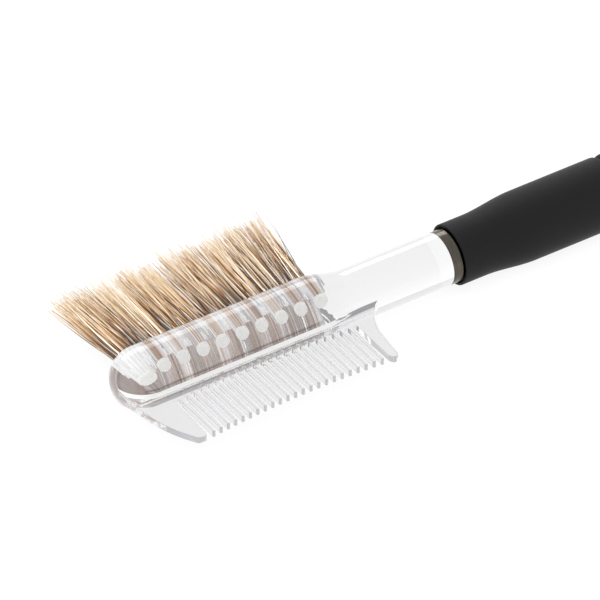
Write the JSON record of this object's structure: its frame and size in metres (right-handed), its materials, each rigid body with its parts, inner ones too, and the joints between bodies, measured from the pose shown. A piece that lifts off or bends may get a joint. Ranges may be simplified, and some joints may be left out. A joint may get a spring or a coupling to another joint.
{
  "type": "brow brush and lash comb",
  "caption": "Slim cosmetic tool: a clear head with a row of hair tufts on one edge and a fine comb on the other, on a round black handle.",
  "frame": {"origin": "centre of the flat rear end of the handle", "axes": "+X along the handle, out of its rear end; +Y towards the bristles; +Z square to the flat of the comb"},
  "size_m": [0.15, 0.0297, 0.0082],
  "materials": {
    "clear_plastic": "polished clear, colourless",
    "bristle": "natural hair, cream tips and brown roots",
    "glue": "hard pale glue",
    "gunmetal": "polished gunmetal plating",
    "soft_black": "soft-touch satin black",
    "bush_plastic": "plain moulded"
  },
  "bodies": {
    "root": {"comb_head": "clear_plastic", "collar_ring": "gunmetal", "core_bush": "bush_plastic", "grip_sleeve": "soft_black", "handle_barrel": "soft_black", "bristle_tuft_01": "bristle", "bristle_tuft_02": "bristle", "bristle_tuft_03": "bristle", "bristle_tuft_04": "bristle", "bristle_tuft_05": "bristle", "bristle_tuft_06": "bristle", "bristle_tuft_07": "bristle", "bristle_tuft_08": "bristle", "bristle_tuft_09": "bristle", "bristle_tuft_10": "bristle", "glue_dot_01": "glue", "glue_dot_02": "glue", "glue_dot_03": "glue", "glue_dot_04": "glue", "glue_dot_05": "glue", "glue_dot_06": "glue", "glue_dot_07": "glue", "glue_dot_08": "glue", "glue_dot_09": "glue", "glue_dot_10": "glue"}
  },
  "joints": []
}
